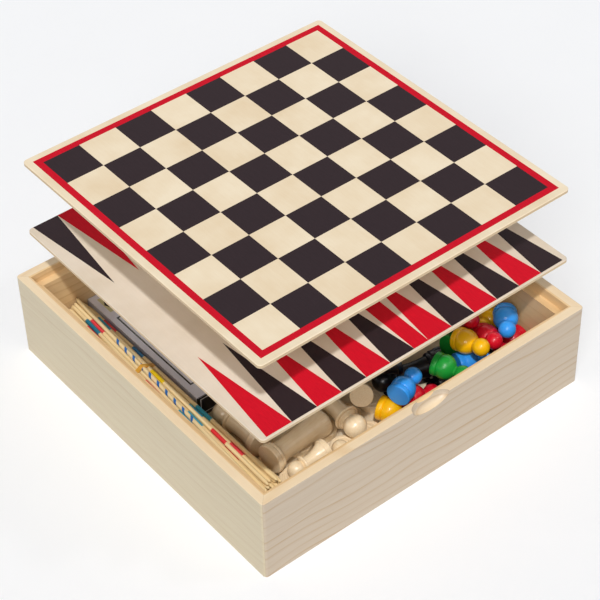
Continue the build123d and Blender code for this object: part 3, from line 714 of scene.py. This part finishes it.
@dataclass(frozen=True)
class PrintedCarton(Finish):
    """White-lined folding boxboard, offset-printed and varnished.

    A grey-lilac ground with thin black and white frame lines, black ends with one light
    line, and a row of plain lozenges at the far end of the top. The long sides are painted a
    darker grey-lilac as shade. Folded edges show the board where the print has cracked. A
    line holds its distance from the edge, half its width and its ink. The row of lozenges
    holds how far its middle is from the far end, half its depth, how far it keeps from the
    sides and the pitch of its lozenges.
    """

    ground: str = "#eeedf6"
    # side: the long sides' darker colour, which is painted shade, and also the darker ink in the
    # top's mottled print.
    side: str = "#d3d2e0"
    black: str = "#15161b"
    white: str = "#e9e8ea"
    cream: str = "#cdc79a"
    board: str = "#c9c4bb"
    middle: tuple[float, float, float] = (0.0, 0.0, 0.0)
    size: tuple[float, float, float] = (1.0, 1.0, 1.0)
    lines: tuple[tuple[float, float, str], ...] = ((5.4, 0.65, "#15161b"), (6.5, 0.25, "#e9e8ea"))
    frame_ends: tuple[float, float] = (26.0, 9.0)
    row: tuple[float, float, float, float] = (14.0, 9.0, 5.0, 7.0)
    lozenge: float = 0.38
    end_line: tuple[float, float] = (3.3, 0.35)
    fold: float = 0.35
    wear: float = 0.5
    cloud: float = 0.05
    face_from: float = 0.6

    def surface(self, tree: bpy.types.NodeTree) -> dict[str, Value]:
        """The print on the top, the sides and the ends.

        Args:
            tree: The material's nodes.

        Returns:
            What each socket of the shader gets.
        """
        half = [s / 2 for s in self.size]
        place = add(tree, "VectorMath", coordinates(tree), self.middle, operation="SUBTRACT")
        x, y, z = add(tree, "SeparateXYZ", place).node.outputs
        facing = add(tree, "SeparateXYZ", add(tree, "TexCoord", out="Normal")).node.outputs
        top, end = (add(tree, "Math", add(tree, "Math", facing[i], operation="ABSOLUTE"),
                        self.face_from, operation="GREATER_THAN") for i in (2, 1))
        ink = add(tree, "TexNoise", place, None, self.cloud, 3.0, 0.6)
        colour = add(tree, "MixRGB", ink, linear(self.ground), linear(self.side))
        # Painted shade: faces that don't face up or down take the side colour flat.
        colour = add(tree, "MixRGB", top, linear(self.side), colour)
        rim = add(tree, "Math", half[0], add(tree, "Math", x, operation="ABSOLUTE"),
                  operation="SUBTRACT")
        far = add(tree, "Math", half[1] - self.frame_ends[0], y, operation="SUBTRACT")
        near = add(tree, "Math", y, half[1] - self.frame_ends[1], operation="ADD")
        inset = add(tree, "Math", rim, add(tree, "Math", far, near, operation="MINIMUM"),
                    operation="MINIMUM")
        for middle, width, tint in self.lines:
            line = add(tree, "Math", inset, middle, width, operation="COMPARE")
            line = add(tree, "Math", line, top, operation="MULTIPLY")
            colour = add(tree, "MixRGB", line, colour, linear(tint))
        start, deep, aside, pitch = self.row
        block = add(tree, "Math", y, half[1] - start, deep, operation="COMPARE")
        block = add(tree, "Math", block, add(tree, "Math", rim, aside, operation="GREATER_THAN"),
                    operation="MULTIPLY")
        block = add(tree, "Math", block, top, operation="MULTIPLY")
        colour = add(tree, "MixRGB", block, colour, linear(self.cream))
        across = add(tree, "Math", add(tree, "Math", x, 1 / pitch, operation="MULTIPLY"), 0.5,
                     operation="PINGPONG")
        reach = add(tree, "Math", add(tree, "Math", y, start - half[1], operation="ADD"),
                    operation="ABSOLUTE")
        lozenge = add(tree, "Math", reach, 1 / (2 * pitch), across, operation="MULTIPLY_ADD")
        lozenge = add(tree, "Math", lozenge, self.lozenge, operation="LESS_THAN")
        lozenge = add(tree, "Math", lozenge, block, operation="MULTIPLY")
        colour = add(tree, "MixRGB", lozenge, colour, linear(self.black))
        colour = add(tree, "MixRGB", end, colour, linear(self.black))
        lift = add(tree, "Math", half[2], add(tree, "Math", z, operation="ABSOLUTE"),
                   operation="SUBTRACT")
        frame_line = add(tree, "Math", add(tree, "Math", rim, lift, operation="MINIMUM"),
                         *self.end_line, operation="COMPARE")
        frame_line = add(tree, "Math", frame_line, end, operation="MULTIPLY")
        colour = add(tree, "MixRGB", frame_line, colour, linear(self.white))
        fold = add(tree, "Math", rim, lift, operation="MAXIMUM")
        fold = add(tree, "Math", fold, self.fold, operation="LESS_THAN")
        worn = add(tree, "TexNoise", place, None, self.wear, 2.0, 0.5)
        fold = add(tree, "Math", fold, add(tree, "Math", worn, 0.5, operation="GREATER_THAN"),
                   operation="MULTIPLY")
        colour = add(tree, "MixRGB", fold, colour, linear(self.board))
        bump = add(tree, "Bump", named={"Strength": 0.15, "Distance": 0.0001, "Height": ink})
        return {"Base Color": colour, "Roughness": 0.3, "Normal": bump, "Coat Weight": 0.4,
                "Coat Roughness": 0.12}


@dataclass(frozen=True)
class StainedTile(Finish):
    """Hardboard domino dipped in black stain, with a dull wax."""

    colour: str = "#26201e"
    worn: str = "#4a3d34"
    cloud: float = 0.35
    rubbed: tuple[float, float] = (0.45, 0.75)

    def surface(self, tree: bpy.types.NodeTree) -> dict[str, Value]:
        """Black stain with a few rubbed places.

        Args:
            tree: The material's nodes.

        Returns:
            What each socket of the shader gets.
        """
        rub = add(tree, "TexNoise", coordinates(tree), None, self.cloud, 4.0, 0.6)
        colours = linear(self.colour), linear(self.worn)
        colour = add(tree, "ValToRGB", rub, stops=tuple(zip(self.rubbed, colours)))
        bump = add(tree, "Bump", named={"Strength": 0.2, "Distance": 0.0001, "Height": rub})
        return {"Base Color": colour, "Roughness": 0.45, "Normal": bump}


@dataclass(frozen=True)
class PaperFloor(Finish):
    """Matt white background paper, which keeps the case's soft shadow."""

    colour: str = "#fafbfd"
    grey: str = "#f8f9fb"
    cloud: float = 0.02

    def surface(self, tree: bpy.types.NodeTree) -> dict[str, Value]:
        """Nearly even white with a faint tooth, and no gloss.

        Args:
            tree: The material's nodes.

        Returns:
            What each socket of the shader gets.
        """
        tooth = add(tree, "TexNoise", coordinates(tree), None, self.cloud, 2.0, 0.5)
        colour = add(tree, "MixRGB", tooth, linear(self.colour), linear(self.grey))
        return {"Base Color": colour, "Roughness": 1.0, "Specular IOR Level": 0.0}


# ------------------------------------------------------------------ helpers for pieces
def islands(mesh: bpy.types.Mesh) -> np.ndarray:
    """Which separate solid each vertex of a mesh belongs to.

    Args:
        mesh: A mesh whose triangles may be loose.

    Returns:
        A whole number for each vertex, counted from 0 without gaps.
    """
    corners = vertices(mesh)
    _, weld = np.unique(np.round(corners / 1e-6).astype(np.int64), axis=0, return_inverse=True)
    weld = weld.reshape(-1)
    ends = np.empty(2 * len(mesh.edges), dtype=np.int32)
    mesh.edges.foreach_get("vertices", ends)
    a, b = weld[ends[0::2]], weld[ends[1::2]]
    label = np.arange(weld.max() + 1)
    while True:
        low = np.minimum(label[a], label[b])
        merged = label.copy()
        np.minimum.at(merged, a, low)
        np.minimum.at(merged, b, low)
        merged = merged[merged]
        if np.array_equal(merged, label):
            break
        label = merged
    return np.unique(label[weld], return_inverse=True)[1].reshape(-1)


def vertices(mesh: bpy.types.Mesh) -> np.ndarray:
    """Reads a mesh's vertices.

    Args:
        mesh: The mesh.

    Returns:
        Rows of x, y and z in metres.
    """
    flat = np.empty(3 * len(mesh.vertices))
    mesh.vertices.foreach_get("co", flat)
    return flat.reshape(-1, 3)


class Shape(Enum):
    """How a loose piece's own axis is found."""

    LONG = "along its longest way"
    FLAT = "across its two equal ways"
    CUBE = "upright"


def own_axes(points: np.ndarray, shape: Shape) -> np.ndarray:
    """A piece's own three directions, its axis last.

    Args:
        points: The piece's vertices about its middle.
        shape: How its axis is found.

    Returns:
        A matrix whose rows are two directions across the piece and its axis.
    """
    if shape is Shape.CUBE:
        turns = np.radians(np.arange(0, 90, 0.5))
        spans = [np.ptp(points[:, 0] * math.cos(t) + points[:, 1] * math.sin(t)) for t in turns]
        t = turns[int(np.argmin(spans))]
        return np.array([(math.cos(t), math.sin(t), 0), (-math.sin(t), math.cos(t), 0), (0, 0, 1)])
    _, ways = np.linalg.eigh(np.cov(points.T))
    ways = ways.T if shape is Shape.LONG else ways.T[::-1]
    return np.array([way * (1 if way[np.argmax(np.abs(way))] > 0 else -1) for way in ways])


def grained_copy(node: str, name: str, shape: Shape) -> bpy.types.Object:
    """Copies a CAD node's pieces and tells each its own grain and tone.

    Args:
        node: The CAD node, which the copy then replaces.
        name: The new piece's name.
        shape: How the pieces' axes are found.

    Returns:
        The new object, riding on the node's body.
    """
    mesh = frame["nodes"][node].data.copy()
    mesh.name = name
    points = vertices(mesh)
    group = islands(mesh)
    grain, tone = np.zeros_like(points), np.zeros(len(points))
    for number in range(group.max() + 1):
        own = group == number
        about = (points[own] - (points[own].min(0) + points[own].max(0)) / 2) / MM
        grain[own] = about @ own_axes(about, shape).T
        tone[own] = (number * GOLDEN + 0.13 * len(name)) % 1
    mesh.attributes.new("grain", "FLOAT_VECTOR", "POINT").data.foreach_set("vector", grain.ravel())
    mesh.attributes.new("tone", "FLOAT", "POINT").data.foreach_set("value", tone)
    return place_piece(mesh, name, node)


def place_piece(mesh: bpy.types.Mesh, name: str, *nodes: str) -> bpy.types.Object:
    """Puts a mesh into the scene in place of CAD nodes.

    Args:
        mesh: The mesh, already in the frame.
        name: The piece's name.
        nodes: The CAD nodes it stands for.

    Returns:
        The new object.
    """
    piece = bpy.data.objects.new(name, mesh)
    bpy.context.scene.collection.objects.link(piece)
    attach(piece, body_of(nodes[0]))
    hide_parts(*nodes)
    return piece


def meshed(made: bmesh.types.BMesh, name: str, smooth: bool = True) -> bpy.types.Mesh:
    """Turns a bmesh into a mesh, and frees it.

    The operators leave vertices and faces in another order each run, so both are sorted by
    where they are.

    Args:
        made: The finished bmesh.
        name: The mesh's name.
        smooth: Whether its faces are shaded smooth.

    Returns:
        The mesh.
    """
    for face in made.faces:
        face.smooth = smooth
    for row, place in ((made.verts, lambda vert: tuple(vert.co)),
                       (made.faces, lambda face: tuple(face.calc_center_median()))):
        rank = {element: number for number, element in enumerate(sorted(row, key=place))}
        row.sort(key=rank.get)
    mesh = bpy.data.meshes.new(name)
    made.to_mesh(mesh)
    made.free()
    return mesh


def body_of(node: str) -> str:
    """The CAD body that a node belongs to."""
    bodies = frame["record"]["behaviour"]["bodies"]
    return next(body for body, nodes in bodies.items() if node in nodes)


def dress(piece: bpy.types.Object, finish: Finish) -> None:
    """Gives a new piece one finish all over."""
    piece.data.materials.clear()
    piece.data.materials.append(finish.material())


def dress_node(node: str, finish: Finish) -> None:
    """Gives a CAD node one finish all over.

    Args:
        node: The node.
        finish: Its finish.
    """
    made = finish.material()
    for slot in frame["nodes"][node].material_slots:
        slot.material = made
    LOG.info("%s: %s", node, finish.name)


# ------------------------------------------------------------------ sub-assemblies
@dataclass
class Case:
    """The four mitred walls and the base panel, all of them CAD shapes.

    Each wall has the way its grain runs, the tone of painted shade on its outward faces and how
    strong its figure is. The front, which gets the least light, is painted darkest.
    """

    # The hex colour of each wall is the painted shade of its outward faces.
    walls: dict[str, tuple[Along, str, float]] = field(default_factory=lambda: {
        "front_wall": (Along.X, "#c3b39e", 1.25), "back_wall": (Along.X, "#c8b9a3", 0.9),
        "left_wall": (Along.Y, "#cec1a4", 0.6), "right_wall": (Along.Y, "#c8baa4", 0.7)})

    def build(self) -> None:
        """Dresses the walls, each cut from another part of the plank, and the base."""
        for number, (wall, (along, side_shade_colour, figure)) in enumerate(self.walls.items()):
            dress_node(wall, LacqueredPine(f"pine_{wall}", along=along, side_shade_early=side_shade_colour,
                                           figure=figure, seed=1.7 * number))
        low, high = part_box("base_panel")
        dress_node("base_panel", BirchPly("base_plywood", low=low.z / MM,
                                          thickness=(high.z - low.z) / MM))


@dataclass
class Boards:
    """The two playing boards, CAD shapes with a printed face."""

    def build(self) -> None:
        """Dresses both boards from their own heights."""
        for node, kind in (("chess_board", ChessPrint), ("backgammon_board", BackgammonPrint)):
            low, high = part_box(node)
            dress_node(node, kind(f"{node}_print", low=low.z / MM, thickness=(high.z - low.z) / MM))


@dataclass
class LooseMen:
    """Turned men, pawns, draughts and dice, each with its own grain."""

    ranks: tuple[str, ...] = ("king", "queen", "bishops", "knights", "rooks", "pawns")
    paints: tuple[tuple[str, str, str], ...] = (
        ("red", "#e0102a", "#c00c24"), ("blue", "#38a2fa", "#2a8cec"),
        ("yellow", "#ffc60c", "#fbb004"), ("green", "#1fa43c", "#148a30"))
    die_face: float = 6.95
    die_pips: float = 5.2

    def build(self) -> None:
        """Copies and dresses every kind of loose piece."""
        natural = TurnedWood("lacquered_birch").material()
        black = DippedPaint("black_enamel", colour="#0b0b10", deep="#15151c").material()
        for rank in self.ranks:
            self.lay(f"natural_{rank}", "turned", Shape.LONG, natural)
            self.lay(f"black_{rank}", "enamelled", Shape.LONG, black)
        for colour, bright, deep in self.paints:
            paint = DippedPaint(f"{colour}_enamel", colour=bright, deep=deep).material()
            self.lay(f"{colour}_pawns", "enamelled", Shape.LONG, paint)
        self.lay("light_draughts", "turned", Shape.FLAT, natural)
        self.lay("dark_draughts", "enamelled", Shape.FLAT, black)
        boxwood = BoxwoodDie("boxwood").material()
        dice = self.lay("dice", "drilled", Shape.CUBE, boxwood)
        self.ink_pips(dice)

    def lay(self, node: str, how: str, shape: Shape, finish: bpy.types.Material) -> bpy.types.Object:
        """Copies one node's pieces, dresses them and reports them.

        Args:
            node: The CAD node.
            how: A word for how it was made, for the piece's name.
            shape: How its pieces' axes are found.
            finish: The material.

        Returns:
            The new object.
        """
        piece = grained_copy(node, f"{node}_{how}", shape)
        piece.data.materials.clear()
        piece.data.materials.append(finish)
        LOG.info("%s: %d triangles", piece.name, len(piece.data.polygons))
        return piece

    def ink_pips(self, dice: bpy.types.Object) -> None:
        """Marks the faces of the drilled pips, which lie inside the cube's own faces.

        Args:
            dice: The piece that holds the dice.
        """
        grain = np.empty(3 * len(dice.data.vertices))
        dice.data.attributes["grain"].data.foreach_get("vector", grain)
        grain = np.abs(grain.reshape(-1, 3))
        inked = []
        for face in dice.data.polygons:
            _, second, most = np.sort(grain[list(face.vertices)].mean(0))
            inked.append(float(most < self.die_face and second < self.die_pips))
        dice.data.attributes.new("inked", "FLOAT", "FACE").data.foreach_set("value", inked)


@dataclass
class StickBundle:
    """Pointed sticks with dyed bands, held by a rubber band."""

    radius: float = 1.5
    tip: float = 0.62
    shoulder: float = 4.2
    bevels: tuple[tuple[float, float], tuple[float, float]] = ((0.72, 1.4), (0.74, 1.3))
    sides: int = 14
    band_thickness: float = 0.9
    band_width: float = 3.4
    band_slack: float = 0.05
    band_slant: float = 0.05
    band_sides: int = 120
    band_crease: float = 40.0
    spiral: str = "#1f6fc0"
    dyes: dict[str, tuple[tuple[float, float, str], ...]] = field(default_factory=lambda: {
        "mikado_stick": (),
        "mandarin_sticks": ((22, 39, "#2aa0c4"), (94, 110, "#f5d70a"), (170, 187, "#e8323c")),
        "bonze_sticks": ((22, 39, "#ee4350"), (61, 75, "#1f78b8"), (142, 160, "#2aa0c4")),
        "samurai_sticks": ((20, 38, "#147ea0"), (98, 115, "#ee4350"), (186, 203, "#ee4350")),
        "worker_sticks": ((24, 41, "#ee4350"), (140, 157, "#2aa0c4"), (190, 205, "#ee4350")),
    })

    def build(self) -> None:
        """Makes the sticks of each kind, then the band that they leave room for."""
        ends: list[tuple[np.ndarray, np.ndarray]] = []
        for node, bands in self.dyes.items():
            mesh = frame["nodes"][node].data
            points, group = vertices(mesh), islands(mesh)
            rods = [self.ends(points[group == n]) for n in range(group.max() + 1)]
            ends += rods
            finish = DyedStick(f"{node}_dye", bands=bands,
                               spiral=self.spiral if node == "mikado_stick" else None)
            piece = place_piece(self.rods(rods, node), f"{node}_dyed", node)
            dress(piece, finish)
            LOG.info("%s: %d sticks", piece.name, len(rods))
        band = place_piece(self.band(ends), "rubber_band_stretched", "rubber_band")
        dress(band, NaturalRubber("natural_rubber"))

    def ends(self, points: np.ndarray) -> tuple[np.ndarray, np.ndarray]:
        """Finds where one stick starts and ends.

        Args:
            points: The stick's vertices.

        Returns:
            Its far point and its near point.
        """
        far = points[points[:, 1] > points[:, 1].max() - 0.1 * MM].mean(0)
        near = points[points[:, 1] < points[:, 1].min() + 0.1 * MM].mean(0)
        return far, near

    def rods(self, rods: list[tuple[np.ndarray, np.ndarray]], name: str) -> bpy.types.Mesh:
        """Turns the sticks of one kind.

        Args:
            rods: The two points of each stick.
            name: The mesh's name.

        Returns:
            One mesh with a separate shell for each stick, and its grain and tone.
        """
        made = bmesh.new()
        grain = made.verts.layers.float_vector.new("grain")
        tone = made.verts.layers.float.new("tone")
        (far_girth, far_deep), (near_girth, near_deep) = self.bevels
        for number, (far, near) in enumerate(rods):
            start, axis = Vector(far), Vector(near - far)
            length = axis.length / MM
            profile = ((0.0, 0.0), (self.tip, 0.0), (self.radius * far_girth, far_deep),
                       (self.radius, self.shoulder), (self.radius, length - self.shoulder),
                       (self.radius * near_girth, length - near_deep), (self.tip, length),
                       (0.0, length))
            chain = [made.verts.new((r * MM, 0, z * MM)) for r, z in profile]
            wire = [made.edges.new(pair) for pair in zip(chain, chain[1:])]
            bmesh.ops.spin(made, geom=chain + wire, axis=(0, 0, 1), cent=(0, 0, 0),
                           steps=self.sides, angle=2 * math.pi, use_merge=True)
            own = [v for v in made.verts if v[tone] == 0.0]
            bmesh.ops.remove_doubles(made, verts=own, dist=1e-6)
            own = [v for v in made.verts if v[tone] == 0.0]
            for vert in own:
                vert[grain] = vert.co / MM
                vert[tone] = 0.05 + (number * GOLDEN) % 0.9
            lean = axis.to_track_quat("Z", "Y").to_matrix().to_4x4()
            bmesh.ops.transform(made, matrix=Matrix.Translation(start) @ lean, verts=own)
        bmesh.ops.recalc_face_normals(made, faces=made.faces)
        return meshed(made, f"{name}_dyed")

    def band(self, ends: list[tuple[np.ndarray, np.ndarray]]) -> bpy.types.Mesh:
        """Stretches the band round the outermost sticks.

        Args:
            ends: The two points of every stick.

        Returns:
            The band's mesh.
        """
        low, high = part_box("rubber_band")
        y = (low.y + high.y) / 2
        spots = np.array([a + (b - a) * (a[1] - y) / (a[1] - b[1]) for a, b in ends])[:, [0, 2]]
        middle = spots.mean(0)
        reach = (spots - middle) / MM
        turns = np.arange(self.band_sides) * 2 * math.pi / self.band_sides
        ways = np.stack([np.cos(turns), np.sin(turns)], axis=1)
        hold = (reach @ ways.T).max(0) + self.radius + self.band_slack
        bend = np.split(np.gradient(np.concatenate([hold, hold, hold]), turns[1]), 3)[1]
        across = np.stack([-np.sin(turns), np.cos(turns)], axis=1)
        loop = ways * hold[:, None] + across * bend[:, None]
        made = bmesh.new()
        ring = bmesh.ops.create_circle(made, segments=self.band_sides, radius=1.0)["verts"]
        ring.sort(key=lambda v: math.atan2(v.co.y, v.co.x) % (2 * math.pi))
        for vert, (across_x, up) in zip(ring, loop):
            slant = self.band_slant * across_x
            vert.co = Vector((middle[0] + across_x * MM, y + (slant - self.band_width / 2) * MM,
                              middle[1] + up * MM))
        grown = bmesh.ops.extrude_edge_only(made, edges=list(made.edges))["geom"]
        bmesh.ops.translate(made, vec=(0, self.band_width * MM, 0),
                            verts=[v for v in grown if isinstance(v, bmesh.types.BMVert)])
        bmesh.ops.recalc_face_normals(made, faces=made.faces)
        bmesh.ops.solidify(made, geom=list(made.faces), thickness=self.band_thickness * MM)
        bmesh.ops.recalc_face_normals(made, faces=made.faces)
        mesh = meshed(made, "rubber_band_stretched")
        mesh.set_sharp_from_angle(angle=math.radians(self.band_crease))
        return mesh


@dataclass
class DominoBox:
    """The printed carton and the tiles packed in it, all of them CAD shapes."""

    def build(self) -> None:
        """Dresses the carton from its own middle and size, and the tiles."""
        low, high = (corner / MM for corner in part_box("domino_carton"))
        dress_node("domino_carton", PrintedCarton(
            "printed_boxboard", middle=tuple((low + high) / 2), size=tuple(high - low)))
        dress_node("domino_tiles", StainedTile("stained_hardboard"))


@dataclass
class Studio:
    """Floor, lamps and camera.

    The high lamp is small and casts the boards' shadows. The fill is broad and low, and
    reaches under the boards. The side lamp only lifts the right side.
    """

    floor: float = 6.0
    sky: float = 0.25
    sun: float = 1.94
    sun_spread: float = 2.4
    fill: float = 0.82
    fill_spread: float = 24.0
    fill_from: tuple[float, float, float] = (-0.85, -0.7, 0.85)
    side_lamp: float = 0.12
    side_from: tuple[float, float, float] = (0.7, -0.5, 1.0)
    sun_from: tuple[float, float, float] = (-0.364, -0.508, 1.0)
    lens: float = 114.24
    eye: tuple[float, float, float] = (-0.62010, -0.80042, 0.98747)
    right: tuple[float, float, float] = (0.77686367, -0.62932168, -0.02090594)
    up: tuple[float, float, float] = (0.43636984, 0.51414551, 0.73840081)
    forward: tuple[float, float, float] = (0.45394294, 0.58275949, -0.67403797)

    def build(self) -> None:
        """Sets up everything that isn't part of the compendium."""
        self.lay_floor()
        self.light()
        self.aim()
        bpy.context.scene.view_settings.view_transform = "Standard"

    def lay_floor(self) -> None:
        """A wide sheet of paper under the case."""
        made = bmesh.new()
        bmesh.ops.create_grid(made, x_segments=2, y_segments=2, size=self.floor / 2)
        floor = bpy.data.objects.new("paper_floor", meshed(made, "paper_floor", smooth=False))
        bpy.context.scene.collection.objects.link(floor)
        dress(floor, PaperFloor("white_paper"))

    def light(self) -> None:
        """A dim even sky, which looks plain white itself, and three distant lamps."""
        world = bpy.data.worlds.new("studio")
        bpy.context.scene.world = world
        world.use_nodes = True
        tree = world.node_tree
        background = tree.nodes["Background"]
        path = add(tree, "LightPath").node.outputs
        seen = add(tree, "Math", path["Is Camera Ray"], path["Is Glossy Ray"], operation="MAXIMUM")
        seen = add(tree, "Math", seen, path["Is Transmission Ray"], operation="MAXIMUM")
        strength = add(tree, "Math", seen, 1 - self.sky, self.sky, operation="MULTIPLY_ADD")
        tree.links.new(strength, background.inputs["Strength"])
        background.inputs["Color"].default_value = (1, 1, 1, 1)
        for name, power, spread, place in (
                ("high_lamp", self.sun, self.sun_spread, self.sun_from),
                ("fill_lamp", self.fill, self.fill_spread, self.fill_from),
                ("side_lamp", self.side_lamp, 2 * self.sun_spread, self.side_from)):
            lamp = bpy.data.lights.new(name, "SUN")
            lamp.energy, lamp.angle = power, math.radians(spread)
            stand = bpy.data.objects.new(name, lamp)
            stand.rotation_euler = Vector(place).to_track_quat("Z", "Y").to_euler()
            bpy.context.scene.collection.objects.link(stand)

    def aim(self) -> None:
        """The camera that sees the case from its front left corner."""
        data = bpy.data.cameras.new("camera")
        data.lens = self.lens
        data.clip_start, data.clip_end = 0.05, 20
        camera = bpy.data.objects.new("camera", data)
        turn = Matrix((self.right, self.up, -Vector(self.forward))).transposed()
        camera.matrix_world = Matrix.Translation(self.eye) @ turn.to_4x4()
        bpy.context.scene.collection.objects.link(camera)
        bpy.context.scene.camera = camera


def main() -> None:
    """Builds and dresses every sub-assembly in turn."""
    logging.basicConfig(level=logging.INFO, format="%(name)s %(message)s")
    for part in (Case(), Boards(), LooseMen(), StickBundle(), DominoBox(), Studio()):
        part.build()
        LOG.info("%s built", type(part).__name__)


if __name__ == "__main__":
    main()
